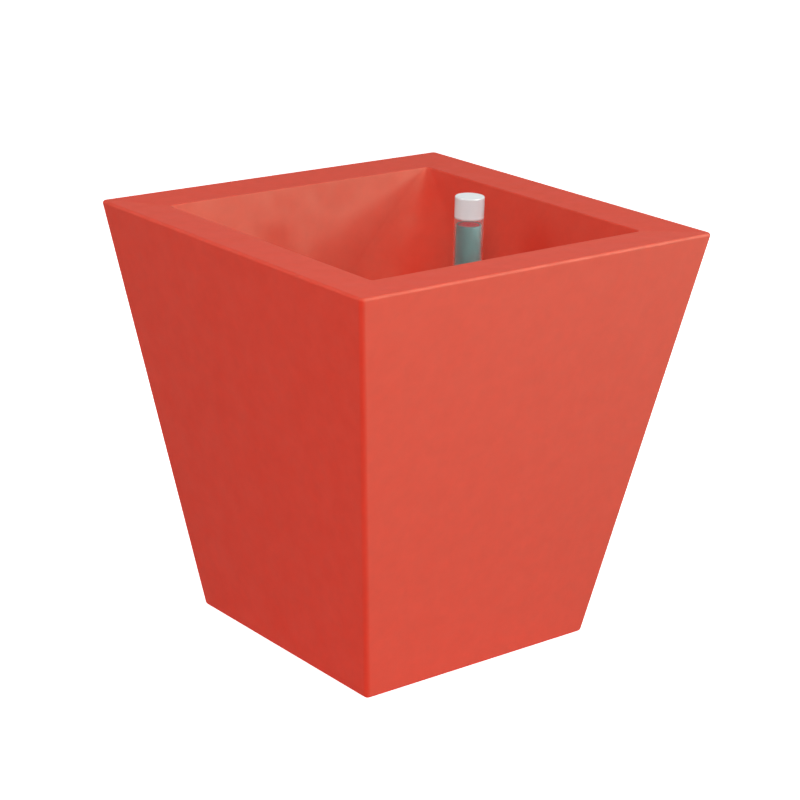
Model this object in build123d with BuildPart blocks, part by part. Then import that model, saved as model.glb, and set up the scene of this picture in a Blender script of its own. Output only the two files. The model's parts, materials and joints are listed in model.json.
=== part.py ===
from build123d import *
import os
from math import atan, cos, degrees, sin, tan

# Self-watering planter: a square pot that widens upwards, with a lift-out watering kit
# (separator plate, wicks, legs and a float gauge) over a water reservoir.
# Frame: millimetres, origin at the middle of the foot on the ground, +Z up.
# The front faces are -Y and -X, and the gauge stands on the +X side.
# The pot is modelled solid between its outer skin and its well.

# ---------------------------------------------------------------- driving dimensions
# Pot
HEIGHT = 400.0            # ground to rim
TOP_WIDTH = 400.0         # across the flats at the rim, outside
BASE_WIDTH = 261.0        # across the flats at the foot, outside
RIM_WIDTH = 46.0          # between the outer edge and the well
RIM_FALL = 2.0            # the rim slopes down into the well by this, to shed water
RIM_LAND = 4.0            # level margin at the outer edge, which the roll-over takes up
CORNER_RADIUS = 5.0       # upright outside corners
RIM_OUTER_RADIUS = 2.6    # roll-over of the rim, outside
RIM_INNER_RADIUS = 1.2    # roll-over of the rim, into the well
FOOT_RADIUS = 4.0         # roll-under at the ground
WELL_CORNER_CUT = 2.0     # length of each side that its corner takes at the rim
WELL_ROUND_Z = 265.0      # the well is square at the rim, and round from here down
LEDGE_Z = 100.0           # ledge that carries the separator plate
LEDGE_OUTER_RADIUS = 108.0
LEDGE_INNER_RADIUS = 100.0
FLOOR_Z = 32.0            # floor of the water reservoir
BOWL_FLOOR_RADIUS = 97.0
BOWL_CHAMFER = 4.0
RECESS_DEPTH = 8.0        # underside recess inside the foot band
RECESS_TAPER = 15.0       # degrees
RECESS_CORNER_RADIUS = 10.0
FOOT_BAND = 22.0
POCKET_DEPTH = 16.0       # deeper pocket for the drain's nut
POCKET_RADIUS = 32.0

# Drain and overflow, on the pot's axis
DRAIN_HOLE_RADIUS = 13.0
BARREL_RADIUS = 12.9
BUSH_BORE_RADIUS = 8.0
BUSH_BOTTOM_Z = 9.0
BUSH_FLANGE_RADIUS = 22.0
BUSH_FLANGE_HEIGHT = 3.0
BUSH_COLLAR_RADIUS = 13.0
BUSH_COLLAR_HEIGHT = 9.0
PIPE_SEAT_STEP = 1.0      # pipe's seat above the flange's top
GASKET_THICKNESS = 2.0
NUT_ACROSS_FLATS = 38.0
NUT_HEIGHT = 5.0
NUT_FLANGE_RADIUS = 22.0
NUT_FLANGE_HEIGHT = 1.5
PIPE_RADIUS = 10.0
PIPE_WALL = 2.0
FULL_LEVEL_Z = 84.0       # mouth of the overflow pipe
STRAINER_RADIUS = 12.2
STRAINER_OVERLAP = 10.0
STRAINER_HEIGHT = 18.0
STRAINER_SLOTS = 8
STRAINER_SLOT_WIDTH = 2.0
STRAINER_CHAMFER = 1.5
PLUG_HEAD_RADIUS = 12.0
PLUG_HEAD_HEIGHT = 3.0
PLUG_STUB_LENGTH = 5.8
SEAL_THICKNESS = 1.0
SEAL_MARGIN = 0.4         # seal inside the plug's head, and round its stub
COIN_SLOT_WIDTH = 3.0
COIN_SLOT_DEPTH = 1.8
EDGE_BREAK = 0.8          # chamfer on turned and moulded edges
FIT = 0.05                # radial clearance of pushed and running fits

# Watering kit
PLATE_RADIUS = 106.8
PLATE_THICKNESS = 3.0
LIP_HEIGHT = 7.0
LIP_WIDTH = 2.5
RIB_DEPTH = 6.0
RIB_WIDTH = 2.4
HUB_RING_RADIUS = 22.4
SKIRT_RING_RADIUS = 97.5
DRIP_HOLE_RADIUS = 3.0
DRIP_INNER_HOLES = 8
DRIP_OUTER_HOLES = 3      # beside each wick
DRIP_INNER_RING_RADIUS = 30.0
DRIP_OUTER_RING_RADIUS = 89.0
DRIP_ANGLE = 22.5         # degrees between drip holes, and from +X to the first
WICK_RING_RADIUS = 58.0
WICKS = 3                 # at +Y, -X and -Y; the gauge stands at +X
CUP_RADIUS = 20.0
CUP_WALL = 1.8
CUP_BOTTOM_Z = 37.0
CUP_FLANGE_RADIUS = 25.0
CUP_FLANGE_HEIGHT = 2.0
CUP_SLOTS = 6
CUP_SLOT_WIDTH = 5.0
CUP_SLOT_BOTTOM_Z = 46.0
CUP_SLOT_TOP_Z = 90.0
LOOSE_FIT = 0.3           # radial clearance of dropped-in pieces and felt
WICK_STAND = 8.0          # felt standing above the plate, in the soil
WICK_CHAMFER = 2.0
LEG_RING_RADIUS = 75.0
LEGS = 4
LEG_ANGLE = 45.0          # degrees from +X to the first leg and rib
LEG_RADIUS = 9.0
LEG_WALL = 2.0
LEG_FOOT_RADIUS = 12.0
LEG_FOOT_HEIGHT = 2.5
SPIGOT_LENGTH = 10.0

# Float gauge
GAUGE_X = 80.0
TUBE_RADIUS = 12.3
TUBE_BORE_RADIUS = 10.9
TUBE_BOTTOM_Z = 36.0
TUBE_TOP_Z = 381.5
TUBE_LIP_RADIUS = 0.4
TUBE_COLLAR_RADIUS = 17.0
TUBE_COLLAR_HEIGHT = 3.0
GROMMET_NECK_RADIUS = 16.0
GROMMET_FLANGE_RADIUS = 18.5
GROMMET_FLANGE_HEIGHT = 2.0
GROMMET_CLEARANCE = 1.0   # radial room round its lower flange
TUBE_FOOT_RADIUS = 14.0
TUBE_FOOT_FLOOR = 1.5
TUBE_FOOT_HEIGHT = 16.0
TUBE_FOOT_SLOT_WIDTH = 3.0
TUBE_FOOT_SLOT_LENGTH = 15.0
TUBE_FOOT_SLOTS = 3
CAP_RADIUS = 14.0
CAP_TOP_Z = 408.7
CAP_LENGTH = 120.0
CAP_ROOF = 2.0
CAP_EDGE_RADIUS = 1.4
FLOAT_RADIUS = 10.2
FLOAT_HEIGHT = 34.0
FLOAT_CHAMFER = 1.5
FLOAT_GAP = 0.3           # float above the foot's floor when the reservoir is empty
HEAD_RADIUS = 10.0
HEAD_HEIGHT = 4.0
HEAD_TOP_Z = 381.2
HEAD_RIM = 1.0            # flat rim round the head's dish, and the chamfer under it
DISH_DEPTH = 1.2
ROD_RADIUS = 1.5

# ---------------------------------------------------------------- worked-out dimensions
LEAN = degrees(atan((TOP_WIDTH - BASE_WIDTH) / 2 / HEIGHT))
RECESS_WIDTH = BASE_WIDTH - 2 * FOOT_BAND
WELL_HALF_WIDTH = TOP_WIDTH / 2 - RIM_WIDTH
WELL_FLAT = WELL_HALF_WIDTH - WELL_CORNER_CUT
WELL_SLOPE = (WELL_HALF_WIDTH - LEDGE_OUTER_RADIUS) / (HEIGHT - LEDGE_Z)
WELL_ROUND_RADIUS = LEDGE_OUTER_RADIUS + WELL_SLOPE * (WELL_ROUND_Z - LEDGE_Z)
GASKET_TOP_Z = FLOOR_Z + GASKET_THICKNESS
BUSH_FLANGE_TOP_Z = GASKET_TOP_Z + BUSH_FLANGE_HEIGHT
PIPE_SEAT_Z = BUSH_FLANGE_TOP_Z + PIPE_SEAT_STEP
PLATE_TOP_Z = LEDGE_Z + PLATE_THICKNESS
RIB_BOTTOM_Z = LEDGE_Z - RIB_DEPTH
COLLAR_Z = PLATE_TOP_Z + GROMMET_FLANGE_HEIGHT
CAP_BOTTOM_Z = CAP_TOP_Z - CAP_LENGTH
FLOAT_BOTTOM_Z = TUBE_BOTTOM_Z + FLOAT_GAP
HEAD_BOTTOM_Z = HEAD_TOP_Z - HEAD_HEIGHT

os.makedirs("parts", exist_ok=True)


def save(shape, name):
    """Label a finished piece and write it under its node's name."""
    shape.label = name
    export_step(shape, f"parts/{name}.step")


def add_pot_block():
    """Add the leaning square block that the pot is cut from, with rounded uprights."""
    with BuildSketch() as foot:
        Rectangle(BASE_WIDTH, BASE_WIDTH)
    extrude(foot.sketch, amount=HEIGHT)
    draft(faces().filter_by(Axis.Z, reverse=True), Plane.XY, -LEAN)
    uprights = edges().filter_by(lambda edge: abs(edge.center().Z - HEIGHT / 2) < 1)
    fillet(uprights, CORNER_RADIUS)


def well_cone():
    """Return the tip, axis and half angle of the cone that rounds one corner of the well.

    Each side of the well is a flat triangle that narrows to a point where the well turns
    round. The cone touches the two sides beside it along their slanting edges, and its tip
    is above the rim.
    """
    flat_slope = WELL_FLAT / (HEIGHT - WELL_ROUND_Z)
    tip_height = WELL_ROUND_RADIUS / (flat_slope - WELL_SLOPE)
    tip = Vector(flat_slope * tip_height, flat_slope * tip_height, WELL_ROUND_Z + tip_height)
    touching = (Vector(0, WELL_ROUND_RADIUS, WELL_ROUND_Z) - tip).normalized()
    wall_normal = Vector(0, 1, -WELL_SLOPE).normalized()
    half_angle = atan((touching.X - touching.Y) / (wall_normal.X - wall_normal.Y))
    axis = touching * cos(half_angle) - wall_normal * sin(half_angle)
    return tip, axis, half_angle


# ---------------------------------------------------------------- pot
# Tool that rounds the well's +X +Y corner: the slanting cone, kept to its own quarter.
with BuildPart() as well_corner:
    cone_tip, cone_axis, cone_angle = well_cone()
    with Locations(Plane(origin=cone_tip, z_dir=cone_axis)):
        Cone(0, TOP_WIDTH * tan(cone_angle), TOP_WIDTH, align=(Align.CENTER, Align.CENTER, Align.MIN))
    with Locations((0, 0, LEDGE_Z)):
        Box(TOP_WIDTH, TOP_WIDTH, TOP_WIDTH, align=Align.MIN, mode=Mode.INTERSECT)

with BuildPart() as planter_shell:
    add_pot_block()
    fillet(planter_shell.faces().sort_by(Axis.Z)[-1].edges(), RIM_OUTER_RADIUS)
    fillet(planter_shell.faces().sort_by(Axis.Z)[0].edges(), FOOT_RADIUS)
    # the rim's slope: the top is dished as a very shallow pyramid that stands on its tip
    dish_half_width = TOP_WIDTH / 2 - RIM_LAND
    dish_depth = RIM_FALL * dish_half_width / (RIM_WIDTH - RIM_LAND)
    dish_corner = Vector(dish_half_width, dish_half_width, HEIGHT)
    dish_points = [dish_corner.rotate(Axis.Z, turn) for turn in (0, 90, 180, 270)]
    dish_points.append(Vector(0, 0, HEIGHT - dish_depth))
    ConvexPolyhedron(dish_points, align=None, mode=Mode.SUBTRACT)
    # upper well: an eight-sided hollow between the cones' edges, then the four cones
    well_points = []
    for turn in (0, 90, 180, 270):
        rim_ends = (Vector(WELL_HALF_WIDTH, side * WELL_FLAT, HEIGHT) for side in (-1, 1))
        well_points += [point.rotate(Axis.Z, turn) for point in rim_ends]
        well_points.append(Vector(WELL_ROUND_RADIUS, 0, WELL_ROUND_Z).rotate(Axis.Z, turn))
    ConvexPolyhedron(well_points, align=None, mode=Mode.SUBTRACT)
    for turn in (0, 90, 180, 270):
        add(well_corner.part, rotation=(0, 0, turn), mode=Mode.SUBTRACT)
    rim_edges = planter_shell.edges().filter_by_position(
        Axis.Z, HEIGHT - 1.5 * RIM_FALL, HEIGHT - 0.75 * RIM_FALL
    )
    fillet(rim_edges, RIM_INNER_RADIUS)
    # round lower well, the ledge, and the reservoir bowl below it
    with BuildSketch(Plane.XZ):
        with BuildLine():
            Polyline(
                (0, FLOOR_Z),
                (BOWL_FLOOR_RADIUS, FLOOR_Z),
                (LEDGE_INNER_RADIUS, LEDGE_Z),
                (LEDGE_OUTER_RADIUS, LEDGE_Z),
                (WELL_ROUND_RADIUS, WELL_ROUND_Z),
                (0, WELL_ROUND_Z),
                close=True,
            )
        make_face()
        chamfer(vertices().group_by(Axis.Y)[0].sort_by(Axis.X)[-1], BOWL_CHAMFER)
    revolve(axis=Axis.Z, mode=Mode.SUBTRACT)
    # underside: a shallow square recess leaves a foot band, with a round pocket in it
    with BuildSketch(Plane.XY):
        RectangleRounded(RECESS_WIDTH, RECESS_WIDTH, RECESS_CORNER_RADIUS)
    extrude(amount=RECESS_DEPTH, taper=RECESS_TAPER, mode=Mode.SUBTRACT)
    with BuildSketch(Plane.XY.offset(RECESS_DEPTH)):
        Circle(POCKET_RADIUS)
    extrude(amount=POCKET_DEPTH - RECESS_DEPTH, mode=Mode.SUBTRACT)
    with BuildSketch(Plane.XY.offset(POCKET_DEPTH)):
        Circle(DRAIN_HOLE_RADIUS)
    extrude(amount=FLOOR_Z - POCKET_DEPTH, mode=Mode.SUBTRACT)

save(planter_shell.part, "planter_shell")

# ---------------------------------------------------------------- drain and overflow
# Rubber washer between the reservoir's floor and the bush.
with BuildPart() as bush_gasket:
    with BuildSketch(Plane.XY.offset(FLOOR_Z)):
        Circle(BUSH_FLANGE_RADIUS)
        Circle(DRAIN_HOLE_RADIUS, mode=Mode.SUBTRACT)
    extrude(amount=GASKET_THICKNESS)

save(bush_gasket.part, "bush_gasket")

# Flanged bush through the floor, with a socket for the overflow pipe on top.
with BuildPart() as drain_bush:
    with BuildSketch(Plane.XZ):
        with BuildLine():
            Polyline(
                (BUSH_BORE_RADIUS, BUSH_BOTTOM_Z),
                (BARREL_RADIUS, BUSH_BOTTOM_Z),
                (BARREL_RADIUS, GASKET_TOP_Z),
                (BUSH_FLANGE_RADIUS, GASKET_TOP_Z),
                (BUSH_FLANGE_RADIUS, BUSH_FLANGE_TOP_Z),
                (BUSH_COLLAR_RADIUS, BUSH_FLANGE_TOP_Z),
                (BUSH_COLLAR_RADIUS, BUSH_FLANGE_TOP_Z + BUSH_COLLAR_HEIGHT),
                (PIPE_RADIUS + FIT, BUSH_FLANGE_TOP_Z + BUSH_COLLAR_HEIGHT),
                (PIPE_RADIUS + FIT, PIPE_SEAT_Z),
                (BUSH_BORE_RADIUS, PIPE_SEAT_Z),
                close=True,
            )
        make_face()
    revolve(axis=Axis.Z)

save(drain_bush.part, "drain_bush")

# Flanged hexagon nut in the underside pocket.
with BuildPart() as lock_nut:
    with BuildSketch(Plane.XY.offset(POCKET_DEPTH)):
        Circle(NUT_FLANGE_RADIUS)
    extrude(amount=-NUT_FLANGE_HEIGHT)
    with BuildSketch(Plane.XY.offset(POCKET_DEPTH)):
        RegularPolygon(NUT_ACROSS_FLATS / 2, 6, major_radius=False)
    extrude(amount=-NUT_HEIGHT)
    chamfer(lock_nut.faces().sort_by(Axis.Z)[0].edges(), EDGE_BREAK)
    with BuildSketch(Plane.XY.offset(POCKET_DEPTH)):
        Circle(BARREL_RADIUS + FIT)
    extrude(amount=-NUT_HEIGHT, mode=Mode.SUBTRACT)

save(lock_nut.part, "lock_nut")

# Overflow pipe: its mouth sets the full level.
with BuildPart() as overflow_pipe:
    with BuildSketch(Plane.XY.offset(PIPE_SEAT_Z)):
        Circle(PIPE_RADIUS)
        Circle(PIPE_RADIUS - PIPE_WALL, mode=Mode.SUBTRACT)
    extrude(amount=FULL_LEVEL_Z - PIPE_SEAT_Z)

save(overflow_pipe.part, "overflow_pipe")

# Slotted strainer cap pushed over the pipe's mouth.
with BuildPart() as overflow_strainer:
    strainer_bottom = FULL_LEVEL_Z - STRAINER_OVERLAP
    strainer_roof = strainer_bottom + STRAINER_HEIGHT
    with BuildSketch(Plane.XY.offset(strainer_bottom)):
        Circle(STRAINER_RADIUS)
    extrude(amount=STRAINER_HEIGHT)
    chamfer(overflow_strainer.faces().sort_by(Axis.Z)[-1].edges(), STRAINER_CHAMFER)
    with BuildSketch(Plane.XY.offset(strainer_bottom)):
        Circle(PIPE_RADIUS + FIT)
    extrude(amount=STRAINER_HEIGHT - PIPE_WALL, mode=Mode.SUBTRACT)
    with BuildSketch(Plane.XY.offset(FULL_LEVEL_Z)):
        with PolarLocations(STRAINER_RADIUS, STRAINER_SLOTS):
            Rectangle(3 * PIPE_WALL, STRAINER_SLOT_WIDTH)
    extrude(amount=strainer_roof - PIPE_WALL - FULL_LEVEL_Z, mode=Mode.SUBTRACT)

save(overflow_strainer.part, "overflow_strainer")

# Screw plug that closes the bush from below, with a coin slot in its head.
with BuildPart() as drain_plug:
    plug_face = BUSH_BOTTOM_Z - SEAL_THICKNESS
    with BuildSketch(Plane.XY.offset(plug_face)):
        Circle(PLUG_HEAD_RADIUS)
    extrude(amount=-PLUG_HEAD_HEIGHT)
    chamfer(drain_plug.faces().sort_by(Axis.Z)[0].edges(), EDGE_BREAK)
    with BuildSketch(Plane.XY.offset(plug_face)):
        Circle(BUSH_BORE_RADIUS - FIT)
    extrude(amount=PLUG_STUB_LENGTH)
    chamfer(drain_plug.faces().sort_by(Axis.Z)[-1].edges(), EDGE_BREAK)
    with BuildSketch(Plane.XY.offset(plug_face - PLUG_HEAD_HEIGHT)):
        Rectangle(2 * PLUG_HEAD_RADIUS, COIN_SLOT_WIDTH)
    extrude(amount=COIN_SLOT_DEPTH, mode=Mode.SUBTRACT)

save(drain_plug.part, "drain_plug")

# Rubber ring that the plug squeezes against the bush.
with BuildPart() as plug_seal:
    with BuildSketch(Plane.XY.offset(BUSH_BOTTOM_Z - SEAL_THICKNESS)):
        Circle(PLUG_HEAD_RADIUS - SEAL_MARGIN)
        Circle(BUSH_BORE_RADIUS + SEAL_MARGIN, mode=Mode.SUBTRACT)
    extrude(amount=SEAL_THICKNESS)

save(plug_seal.part, "plug_seal")

# ---------------------------------------------------------------- watering kit
# Ribbed, perforated plate on the ledge: soil above it, water below.
with BuildPart() as separator_plate:
    with BuildSketch(Plane.XY.offset(LEDGE_Z)):
        Circle(PLATE_RADIUS)
    extrude(amount=PLATE_THICKNESS)
    with BuildSketch(Plane.XY.offset(PLATE_TOP_Z)):
        Circle(PLATE_RADIUS)
        Circle(PLATE_RADIUS - LIP_WIDTH, mode=Mode.SUBTRACT)
    extrude(amount=LIP_HEIGHT)
    with BuildSketch(Plane.XY.offset(RIB_BOTTOM_Z)):
        for ring_radius in (SKIRT_RING_RADIUS, HUB_RING_RADIUS):
            Circle(ring_radius)
            Circle(ring_radius - RIB_WIDTH, mode=Mode.SUBTRACT)
        rib_length = SKIRT_RING_RADIUS - HUB_RING_RADIUS
        rib_middle = (SKIRT_RING_RADIUS + HUB_RING_RADIUS - RIB_WIDTH) / 2
        with PolarLocations(rib_middle, LEGS, LEG_ANGLE):
            Rectangle(rib_length, RIB_WIDTH)
    extrude(amount=RIB_DEPTH)
    with BuildSketch(Plane.XY.offset(RIB_BOTTOM_Z)):
        with PolarLocations(LEG_RING_RADIUS, LEGS, LEG_ANGLE):
            Circle(LEG_RADIUS - LEG_WALL - FIT)
    extrude(amount=-SPIGOT_LENGTH)
    with BuildSketch(Plane.XY.offset(PLATE_TOP_Z)):
        with PolarLocations(WICK_RING_RADIUS, WICKS, 90, 180, endpoint=True):
            Circle(CUP_RADIUS + LOOSE_FIT)
        with Locations((GAUGE_X, 0)):
            Circle(GROMMET_NECK_RADIUS)
    extrude(amount=-PLATE_THICKNESS, mode=Mode.SUBTRACT)
    with BuildSketch(Plane.XY.offset(LEDGE_Z)):
        with Locations((GAUGE_X, 0)):
            Circle(GROMMET_FLANGE_RADIUS + GROMMET_CLEARANCE)
    extrude(amount=-RIB_DEPTH, mode=Mode.SUBTRACT)
    with BuildSketch(Plane.XY.offset(PLATE_TOP_Z)):
        with PolarLocations(DRIP_INNER_RING_RADIUS, DRIP_INNER_HOLES, DRIP_ANGLE):
            Circle(DRIP_HOLE_RADIUS)
        for side in (90, 180, 270):
            first, spread = side - DRIP_ANGLE, 2 * DRIP_ANGLE
            with PolarLocations(DRIP_OUTER_RING_RADIUS, DRIP_OUTER_HOLES, first, spread, endpoint=True):
                Circle(DRIP_HOLE_RADIUS)
    extrude(amount=-PLATE_THICKNESS, mode=Mode.SUBTRACT)

save(separator_plate.part, "separator_plate")

# Slotted cups that hang in the water, each with a felt plug that draws it up.
WICK_PLACES = PolarLocations(WICK_RING_RADIUS, WICKS, 90, 180, endpoint=True)
for number, place in enumerate(WICK_PLACES, start=1):
    cup_plane = Plane(place)
    with BuildPart() as wick_cup:
        with BuildSketch(cup_plane.offset(CUP_BOTTOM_Z)):
            Circle(CUP_RADIUS)
        extrude(amount=PLATE_TOP_Z - CUP_BOTTOM_Z)
        with BuildSketch(cup_plane.offset(PLATE_TOP_Z)):
            Circle(CUP_FLANGE_RADIUS)
        extrude(amount=CUP_FLANGE_HEIGHT)
        with BuildSketch(cup_plane.offset(CUP_BOTTOM_Z + CUP_WALL)):
            Circle(CUP_RADIUS - CUP_WALL)
        extrude(amount=PLATE_TOP_Z + CUP_FLANGE_HEIGHT - CUP_BOTTOM_Z, mode=Mode.SUBTRACT)
        with BuildSketch(cup_plane.offset(CUP_SLOT_BOTTOM_Z)):
            with PolarLocations(CUP_RADIUS, CUP_SLOTS):
                Rectangle(3 * CUP_WALL, CUP_SLOT_WIDTH)
        extrude(amount=CUP_SLOT_TOP_Z - CUP_SLOT_BOTTOM_Z, mode=Mode.SUBTRACT)
    save(wick_cup.part, f"wick_cup_{number}")

    with BuildPart() as felt_wick:
        felt_bottom = CUP_BOTTOM_Z + CUP_WALL + LOOSE_FIT
        with BuildSketch(cup_plane.offset(felt_bottom)):
            Circle(CUP_RADIUS - CUP_WALL - LOOSE_FIT)
        extrude(amount=PLATE_TOP_Z + WICK_STAND - felt_bottom)
        chamfer(felt_wick.faces().sort_by(Axis.Z)[-1].edges(), WICK_CHAMFER)
    save(felt_wick.part, f"felt_wick_{number}")

# Tube legs under the plate, pushed on its spigots, with flat feet on the reservoir's floor.
LEG_PLACES = PolarLocations(LEG_RING_RADIUS, LEGS, LEG_ANGLE)
for number, place in enumerate(LEG_PLACES, start=1):
    leg_plane = Plane(place)
    with BuildPart() as support_leg:
        with BuildSketch(leg_plane.offset(FLOOR_Z)):
            Circle(LEG_RADIUS)
        extrude(amount=RIB_BOTTOM_Z - FLOOR_Z)
        with BuildSketch(leg_plane.offset(FLOOR_Z)):
            Circle(LEG_FOOT_RADIUS)
        extrude(amount=LEG_FOOT_HEIGHT)
        with BuildSketch(leg_plane.offset(FLOOR_Z)):
            Circle(LEG_RADIUS - LEG_WALL)
        extrude(amount=RIB_BOTTOM_Z - FLOOR_Z, mode=Mode.SUBTRACT)
    save(support_leg.part, f"support_leg_{number}")

# ---------------------------------------------------------------- float gauge
GAUGE_PLANE = Plane((GAUGE_X, 0, 0))
GAUGE_PROFILE = Plane((GAUGE_X, 0, 0), x_dir=(1, 0, 0), z_dir=(0, -1, 0))
GAUGE_AXIS = Axis((GAUGE_X, 0, 0), (0, 0, 1))

# Grooved rubber grommet that seals the tube in the plate.
with BuildPart() as gauge_grommet:
    with BuildSketch(GAUGE_PROFILE):
        with BuildLine():
            Polyline(
                (TUBE_RADIUS + FIT, LEDGE_Z - GROMMET_FLANGE_HEIGHT),
                (GROMMET_FLANGE_RADIUS, LEDGE_Z - GROMMET_FLANGE_HEIGHT),
                (GROMMET_FLANGE_RADIUS, LEDGE_Z),
                (GROMMET_NECK_RADIUS - FIT, LEDGE_Z),
                (GROMMET_NECK_RADIUS - FIT, PLATE_TOP_Z),
                (GROMMET_FLANGE_RADIUS, PLATE_TOP_Z),
                (GROMMET_FLANGE_RADIUS, COLLAR_Z),
                (TUBE_RADIUS + FIT, COLLAR_Z),
                close=True,
            )
        make_face()
    revolve(axis=GAUGE_AXIS)

save(gauge_grommet.part, "gauge_grommet")

# Grey tube from the reservoir to just under the rim. A collar stops it on the grommet, and
# a shoulder carries the clear cap.
with BuildPart() as gauge_tube:
    with BuildSketch(GAUGE_PLANE.offset(TUBE_BOTTOM_Z)):
        Circle(TUBE_RADIUS)
    extrude(amount=TUBE_TOP_Z - TUBE_BOTTOM_Z)
    fillet(gauge_tube.faces().sort_by(Axis.Z)[-1].edges(), TUBE_LIP_RADIUS)
    with BuildSketch(GAUGE_PLANE.offset(COLLAR_Z)):
        Circle(TUBE_COLLAR_RADIUS)
    extrude(amount=TUBE_COLLAR_HEIGHT)
    with BuildSketch(GAUGE_PLANE.offset(CAP_BOTTOM_Z)):
        Circle(CAP_RADIUS)
    extrude(amount=-TUBE_COLLAR_HEIGHT)
    with BuildSketch(GAUGE_PLANE.offset(TUBE_BOTTOM_Z)):
        Circle(TUBE_BORE_RADIUS)
    extrude(amount=TUBE_TOP_Z - TUBE_BOTTOM_Z, mode=Mode.SUBTRACT)

save(gauge_tube.part, "gauge_tube")

# Slotted foot that lets water in and keeps the float in the tube.
with BuildPart() as gauge_foot:
    foot_bottom = TUBE_BOTTOM_Z - TUBE_FOOT_FLOOR
    with BuildSketch(GAUGE_PLANE.offset(foot_bottom)):
        Circle(TUBE_FOOT_RADIUS)
    extrude(amount=TUBE_FOOT_HEIGHT)
    with BuildSketch(GAUGE_PLANE.offset(TUBE_BOTTOM_Z)):
        Circle(TUBE_RADIUS + FIT)
    extrude(amount=TUBE_FOOT_HEIGHT, mode=Mode.SUBTRACT)
    with BuildSketch(GAUGE_PLANE.offset(foot_bottom)):
        with GridLocations(0, 2 * TUBE_FOOT_SLOT_WIDTH, 1, TUBE_FOOT_SLOTS):
            Rectangle(TUBE_FOOT_SLOT_LENGTH, TUBE_FOOT_SLOT_WIDTH)
    extrude(amount=TUBE_FOOT_FLOOR, mode=Mode.SUBTRACT)

save(gauge_foot.part, "gauge_foot")

# Clear cap that slips over the tube's end and stands above the rim.
with BuildPart() as gauge_cap:
    with BuildSketch(GAUGE_PLANE.offset(CAP_BOTTOM_Z)):
        Circle(CAP_RADIUS)
    extrude(amount=CAP_LENGTH)
    fillet(gauge_cap.faces().sort_by(Axis.Z)[-1].edges(), CAP_EDGE_RADIUS)
    with BuildSketch(GAUGE_PLANE.offset(CAP_BOTTOM_Z)):
        Circle(TUBE_RADIUS + FIT)
    extrude(amount=CAP_LENGTH - CAP_ROOF, mode=Mode.SUBTRACT)

save(gauge_cap.part, "gauge_cap")

# Float, rod and red head rise together with the water.
with BuildPart() as float_body:
    with BuildSketch(GAUGE_PLANE.offset(FLOAT_BOTTOM_Z)):
        Circle(FLOAT_RADIUS)
    extrude(amount=FLOAT_HEIGHT)
    chamfer(float_body.edges().filter_by(GeomType.CIRCLE), FLOAT_CHAMFER)

save(float_body.part, "float_body")

with BuildPart() as float_rod:
    rod_bottom = FLOAT_BOTTOM_Z + FLOAT_HEIGHT
    with BuildSketch(GAUGE_PLANE.offset(rod_bottom)):
        Circle(ROD_RADIUS)
    extrude(amount=HEAD_BOTTOM_Z - rod_bottom)

save(float_rod.part, "float_rod")

with BuildPart() as indicator_head:
    with BuildSketch(GAUGE_PROFILE):
        with BuildLine():
            Polyline(
                (0, HEAD_TOP_Z - DISH_DEPTH),
                (HEAD_RADIUS - HEAD_RIM, HEAD_TOP_Z),
                (HEAD_RADIUS, HEAD_TOP_Z),
                (HEAD_RADIUS, HEAD_BOTTOM_Z + HEAD_RIM),
                (HEAD_RADIUS - HEAD_RIM, HEAD_BOTTOM_Z),
                (0, HEAD_BOTTOM_Z),
                close=True,
            )
        make_face()
    revolve(axis=GAUGE_AXIS)

save(indicator_head.part, "indicator_head")
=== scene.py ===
import json
import math

import bpy
from mathutils import Matrix, Vector

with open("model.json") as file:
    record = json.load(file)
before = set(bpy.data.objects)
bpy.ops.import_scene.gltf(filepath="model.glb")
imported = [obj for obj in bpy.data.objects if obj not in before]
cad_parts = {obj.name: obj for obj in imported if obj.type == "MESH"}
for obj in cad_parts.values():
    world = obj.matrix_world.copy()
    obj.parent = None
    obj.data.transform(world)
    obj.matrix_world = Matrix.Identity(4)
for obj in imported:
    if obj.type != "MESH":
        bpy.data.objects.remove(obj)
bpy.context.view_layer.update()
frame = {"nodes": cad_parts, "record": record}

# ---------------------------------------------------------------- view
# Lengths are in metres and angles in degrees. Azimuth 0 is in front of the pot, along -Y.
AIM = Vector((0.0, 0.0, 0.2))      # middle of the pot
VIEW_AZIMUTH = -38.755
VIEW_ELEVATION = 18.482
VIEW_ROLL = 1.583
VIEW_DISTANCE = 2.1547
VIEW_RIGHT = 0.00295               # shift of the camera in its own plane
VIEW_UP = 0.02107
LENS = 102.80                      # millimetres, as is the sensor's width
SENSOR = 36.0

# ---------------------------------------------------------------- light
WHITE = (1.0, 1.0, 1.0)
WORLD_LEVEL = 0.12                 # light that the world gives; it looks white all the same
FLOOR_SIZE = 60.0
FLOOR_COLOUR = (0.86, 0.86, 0.86)
FLOOR_ROUGHNESS = 0.9
FLOOR_SPECULAR_LEVEL = 0.2
FLOOR_GLOW = 0.55                  # white that reflections and clear plastic see on the floor
FLOOR_GLOW_SEEN = 0.88             # the same for the camera, so that only a shadow shows
LAMP_DISTANCE = 2.6
LAMPS = {
    # name: (azimuth, elevation, width, watts, rays it lights)
    "fill_front": (-38, 35, 1.4, 40.5, "diffuse"),
    "fill_right": (60, 35, 1.4, 18.0, "diffuse"),
    "fill_back": (-150, 35, 1.4, 13.0, "diffuse"),
    "fill_left": (-80, 65, 1.4, 5.0, "diffuse"),
    "sheen_right": (40, 35, 1.4, 103.0, "glossy"),
    "sheen_front": (0, 35, 1.4, 98.0, "glossy"),
    "sheen_left": (-110, 35, 1.4, 70.0, "glossy"),
    "sheen_key": (39.4, 17.2, 0.25, 64.0, "glossy"),
    "sheen_low": (20, 10, 0.8, 36.0, "glossy"),
    "sheen_back": (-150, 35, 1.4, 13.0, "glossy"),
}

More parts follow.
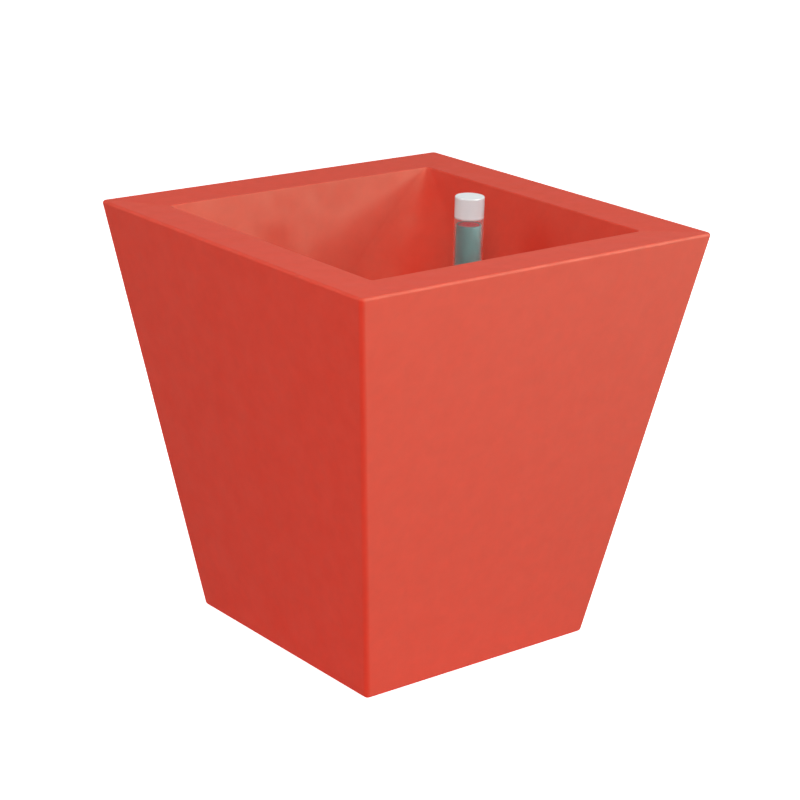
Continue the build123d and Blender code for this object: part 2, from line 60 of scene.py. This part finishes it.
# ---------------------------------------------------------------- finishes
# A texture's scale is in cycles per metre. A bump is its scale, strength and height in metres.
NOISE_LOW = 0.3                    # noise mostly stays between these two
NOISE_HIGH = 0.7

POT_RED = (0.650, 0.0140, 0.0030)
POT_MOTTLE = 0.035                 # share by which the red goes up and down
POT_MOTTLE_SCALE = 95.0
POT_ROUGHNESS = (0.71, 0.79)
POT_ROUGHNESS_SCALE = 40.0
POT_SHEEN = (1.0, 1.0, 0.68)       # tint of the pot's gloss
POT_WAVES = (28.0, 0.25, 0.0006)
POT_GRAIN = (1100.0, 0.20, 0.00012)

CAP_TINT = (0.93, 0.99, 1.0)
CAP_ROUGHNESS = (0.01, 0.03)
CAP_ROUGHNESS_SCALE = 120.0
CAP_CLEAR_Z = 0.3872               # the gauge's cap is clear below this height
CAP_MILKY_Z = 0.3896               # and milky above this one
CAP_CLARITY = (0.96, 0.10)         # light that passes through the clear and the milky part
CAP_IOR = 1.49

FELT_DARK = (0.13, 0.125, 0.115)
FELT_PALE = (0.34, 0.33, 0.31)
FELT_FIBRE_SCALE = 700.0
FELT_NAP = (0.8, 0.0008)           # strength and height of the fibres' bump
FELT_ROUGHNESS = 0.95
FELT_SHEEN = 0.3

MOULDED_FLOW = 0.12                # share by which a moulded piece's colour goes up and down
MOULDED_FLOW_SCALE = 180.0
MOULDED_FLOW_STRETCH = (1, 1, 0.35)
MOULDED_ROUGHNESS_SPREAD = 0.06
MOULDED_ROUGHNESS_SCALE = 60.0
MOULDED_GRAIN = (900.0, 0.12, 0.0001)
MOULDED = {
    # slot: (colour, roughness, specular level)
    "kit_plastic": ((0.028, 0.030, 0.030), 0.42, 0.5),
    "tube_plastic": ((0.130, 0.295, 0.270), 0.45, 0.5),
    "head_plastic": ((0.95, 0.012, 0.018), 0.45, 0.15),
    "float_foam": ((0.74, 0.73, 0.70), 0.80, 0.5),
    "rod_plastic": ((0.72, 0.72, 0.72), 0.35, 0.5),
    "seal_rubber": ((0.020, 0.020, 0.020), 0.60, 0.5),
}


# ---------------------------------------------------------------- node helpers
class Nodes:
    """A material's node tree, with short calls for the nodes that repeat."""

    def __init__(self, material):
        material.use_nodes = True
        self.tree = material.node_tree
        self.tree.nodes.clear()
        self.coordinates = self.add("ShaderNodeTexCoord").outputs["Object"]

    def add(self, kind, **settings):
        node = self.tree.nodes.new(kind)
        for name, value in settings.items():
            setattr(node, name, value)
        return node

    def link(self, source, target):
        self.tree.links.new(source, target)

    def noise(self, scale, detail=2.0, roughness=0.5, stretch=(1, 1, 1)):
        """Noise in object coordinates."""
        mapping = self.add("ShaderNodeMapping")
        mapping.inputs["Scale"].default_value = stretch
        self.link(self.coordinates, mapping.inputs["Vector"])
        node = self.add("ShaderNodeTexNoise")
        node.inputs["Scale"].default_value = scale
        node.inputs["Detail"].default_value = detail
        node.inputs["Roughness"].default_value = roughness
        self.link(mapping.outputs["Vector"], node.inputs["Vector"])
        return node.outputs["Fac"]

    def ramp(self, factor, stops):
        """Map a factor through colour stops: (position, (r, g, b)) or (position, grey)."""
        node = self.add("ShaderNodeValToRGB")
        elements = node.color_ramp.elements
        while len(elements) < len(stops):
            elements.new(0.5)
        for element, (position, colour) in zip(elements, stops):
            element.position = position
            if isinstance(colour, (int, float)):
                colour = (colour, colour, colour)
            element.color = (*colour, 1.0)
        self.link(factor, node.inputs["Fac"])
        return node.outputs["Color"]

    def spread(self, noise, low, high):
        """Run from one grey or colour to another over the band that noise stays in."""
        return self.ramp(noise, [(NOISE_LOW, low), (NOISE_HIGH, high)])

    def bump(self, layers):
        """Stack bumps: (height socket, strength, height in metres)."""
        normal = None
        for height, strength, distance in layers:
            node = self.add("ShaderNodeBump")
            node.inputs["Strength"].default_value = strength
            node.inputs["Distance"].default_value = distance
            self.link(height, node.inputs["Height"])
            if normal is not None:
                self.link(normal, node.inputs["Normal"])
            normal = node.outputs["Normal"]
        return normal

    def noise_bump(self, *layers):
        """Stack bumps of plain noise: (scale, strength, height in metres)."""
        return self.bump([(self.noise(scale), *depth) for scale, *depth in layers])

    def principled(self, **values):
        """The shader: a number or a colour is set on its socket, a socket is linked."""
        node = self.add("ShaderNodeBsdfPrincipled")
        for name, value in values.items():
            socket = node.inputs[name.replace("_", " ")]
            if isinstance(value, bpy.types.NodeSocket):
                self.link(value, socket)
            elif isinstance(value, tuple):
                socket.default_value = (*value, 1.0)
            else:
                socket.default_value = value
        return node.outputs["BSDF"]

    def output(self, shader):
        self.link(shader, self.add("ShaderNodeOutputMaterial").inputs["Surface"])


def tint(colour, factor):
    return tuple(channel * factor for channel in colour)


# ---------------------------------------------------------------- materials
def pot_plastic():
    """Matte rotomoulded polyethylene: even red with a fine mottled grain."""
    material = bpy.data.materials.new("pot_plastic")
    nodes = Nodes(material)
    mottle = nodes.noise(POT_MOTTLE_SCALE, detail=5.0, roughness=0.62)
    patches = nodes.noise(POT_ROUGHNESS_SCALE, detail=3.0)
    nodes.output(nodes.principled(
        Base_Color=nodes.spread(mottle, tint(POT_RED, 1 - POT_MOTTLE), tint(POT_RED, 1 + POT_MOTTLE)),
        Roughness=nodes.spread(patches, *POT_ROUGHNESS),
        Specular_Tint=POT_SHEEN,
        Normal=nodes.noise_bump(POT_WAVES, POT_GRAIN),
    ))
    return material


def moulded_plastic(name, colour, roughness, specular_level):
    """Injection-moulded plastic with a faint flow texture."""
    material = bpy.data.materials.new(name)
    nodes = Nodes(material)
    flow = nodes.noise(MOULDED_FLOW_SCALE, detail=3.0, stretch=MOULDED_FLOW_STRETCH)
    patches = nodes.noise(MOULDED_ROUGHNESS_SCALE)
    smoothest = roughness - MOULDED_ROUGHNESS_SPREAD
    roughest = roughness + MOULDED_ROUGHNESS_SPREAD
    nodes.output(nodes.principled(
        Base_Color=nodes.spread(flow, tint(colour, 1 - MOULDED_FLOW), tint(colour, 1 + MOULDED_FLOW)),
        Roughness=nodes.spread(patches, smoothest, roughest),
        Specular_IOR_Level=specular_level,
        Normal=nodes.noise_bump(MOULDED_GRAIN),
    ))
    return material


def clear_plastic():
    """Cap of the gauge: clear round the tube, and milky above the float's red head."""
    material = bpy.data.materials.new("clear_plastic")
    nodes = Nodes(material)
    separate = nodes.add("ShaderNodeSeparateXYZ")
    nodes.link(nodes.coordinates, separate.inputs["Vector"])
    height = nodes.add("ShaderNodeMapRange")
    height.inputs["From Min"].default_value = CAP_CLEAR_Z
    height.inputs["From Max"].default_value = CAP_MILKY_Z
    nodes.link(separate.outputs["Z"], height.inputs["Value"])
    clear, milky = CAP_CLARITY
    nodes.output(nodes.principled(
        Base_Color=CAP_TINT,
        Roughness=nodes.spread(nodes.noise(CAP_ROUGHNESS_SCALE), *CAP_ROUGHNESS),
        Transmission_Weight=nodes.ramp(height.outputs["Result"], [(0.0, clear), (1.0, milky)]),
        IOR=CAP_IOR,
    ))
    return material


def felt():
    """Needled grey felt."""
    material = bpy.data.materials.new("felt")
    nodes = Nodes(material)
    fibres = nodes.noise(FELT_FIBRE_SCALE, detail=6.0, roughness=0.7)
    nodes.output(nodes.principled(
        Base_Color=nodes.spread(fibres, FELT_DARK, FELT_PALE),
        Roughness=FELT_ROUGHNESS,
        Sheen_Weight=FELT_SHEEN,
        Normal=nodes.bump([(fibres, *FELT_NAP)]),
    ))
    return material


def dress_nodes():
    """Give every CAD node the material of its slot."""
    finishes = {"pot_plastic": pot_plastic(), "clear_plastic": clear_plastic(), "felt": felt()}
    for name, (colour, roughness, specular_level) in MOULDED.items():
        finishes[name] = moulded_plastic(name, colour, roughness, specular_level)
    for row in frame["record"]["subparts"]:
        node = frame["nodes"][row["node"]]
        for material_slot in node.material_slots:
            material_slot.material = finishes[row["material_slot"]]


# ---------------------------------------------------------------- stage
def outward(azimuth, elevation):
    """Unit vector away from the pot; azimuth 0 is along -Y and azimuth 90 along +X."""
    turn = math.radians(azimuth)
    rise = math.radians(elevation)
    return Vector((
        math.sin(turn) * math.cos(rise),
        -math.cos(turn) * math.cos(rise),
        math.sin(rise),
    ))


def seen_by_eye(tree):
    """1 on camera, glossy and transmission rays, which show the white background."""
    path = tree.nodes.new("ShaderNodeLightPath")
    seen = path.outputs["Is Camera Ray"]
    for name in ("Is Glossy Ray", "Is Transmission Ray"):
        either = tree.nodes.new("ShaderNodeMath")
        either.operation = "MAXIMUM"
        tree.links.new(seen, either.inputs[0])
        tree.links.new(path.outputs[name], either.inputs[1])
        seen = either.outputs["Value"]
    return seen


def make_world():
    """Plain ambient light; a white background to camera, glossy and transmission rays."""
    world = bpy.data.worlds.new("studio")
    world.use_nodes = True
    tree = world.node_tree
    tree.nodes.clear()
    strength = tree.nodes.new("ShaderNodeMapRange")
    strength.inputs["To Min"].default_value = WORLD_LEVEL
    strength.inputs["To Max"].default_value = 1.0
    tree.links.new(seen_by_eye(tree), strength.inputs["Value"])
    background = tree.nodes.new("ShaderNodeBackground")
    background.inputs["Color"].default_value = (*WHITE, 1.0)
    tree.links.new(strength.outputs["Result"], background.inputs["Strength"])
    output = tree.nodes.new("ShaderNodeOutputWorld")
    tree.links.new(background.outputs["Background"], output.inputs["Surface"])
    bpy.context.scene.world = world


def make_floor():
    """Pale floor that looks white where it is lit, and keeps the pot's soft shadow."""
    bpy.ops.mesh.primitive_plane_add(size=FLOOR_SIZE, location=(0, 0, 0))
    floor = bpy.context.object
    floor.name = "floor"
    material = bpy.data.materials.new("floor")
    nodes = Nodes(material)
    camera = nodes.add("ShaderNodeLightPath").outputs["Is Camera Ray"]
    level = nodes.add("ShaderNodeMapRange")
    level.inputs["To Min"].default_value = FLOOR_GLOW
    level.inputs["To Max"].default_value = FLOOR_GLOW_SEEN
    nodes.link(camera, level.inputs["Value"])
    glow = nodes.add("ShaderNodeMath", operation="MULTIPLY")
    nodes.link(seen_by_eye(nodes.tree), glow.inputs[0])
    nodes.link(level.outputs["Result"], glow.inputs[1])
    nodes.output(nodes.principled(
        Base_Color=FLOOR_COLOUR,
        Roughness=FLOOR_ROUGHNESS,
        Specular_IOR_Level=FLOOR_SPECULAR_LEVEL,
        Emission_Color=WHITE,
        Emission_Strength=glow.outputs["Value"],
    ))
    floor.data.materials.append(material)


def make_lamps():
    """Square lamps that all face the middle of the pot, from an azimuth and elevation."""
    for name, (azimuth, elevation, width, watts, rays) in LAMPS.items():
        light = bpy.data.lights.new(name, "AREA")
        light.shape = "SQUARE"
        light.size = width
        light.energy = watts
        lamp = bpy.data.objects.new(name, light)
        towards = outward(azimuth, elevation)
        lamp.location = AIM + towards * LAMP_DISTANCE
        lamp.rotation_euler = towards.to_track_quat("Z", "Y").to_euler()
        lamp.visible_diffuse = rays == "diffuse"
        lamp.visible_glossy = rays == "glossy"
        lamp.visible_transmission = False
        bpy.context.scene.collection.objects.link(lamp)


def make_camera():
    """The camera stands at the photograph's angle, tilted by its small roll."""
    azimuth = math.radians(VIEW_AZIMUTH)
    roll = math.radians(VIEW_ROLL)
    back = outward(VIEW_AZIMUTH, VIEW_ELEVATION)
    level_right = Vector((math.cos(azimuth), math.sin(azimuth), 0.0))
    level_up = back.cross(level_right)
    right = math.cos(roll) * level_right + math.sin(roll) * level_up
    up = -math.sin(roll) * level_right + math.cos(roll) * level_up
    data = bpy.data.cameras.new("camera")
    data.lens = LENS
    data.sensor_width = SENSOR
    camera = bpy.data.objects.new("camera", data)
    turn = Matrix((right, up, back)).transposed().to_4x4()
    place = AIM + back * VIEW_DISTANCE + right * VIEW_RIGHT + up * VIEW_UP
    camera.matrix_world = Matrix.Translation(place) @ turn
    bpy.context.scene.collection.objects.link(camera)
    bpy.context.scene.camera = camera


make_camera()
make_world()
make_floor()
make_lamps()
dress_nodes()
bpy.context.scene.view_settings.view_transform = "Standard"
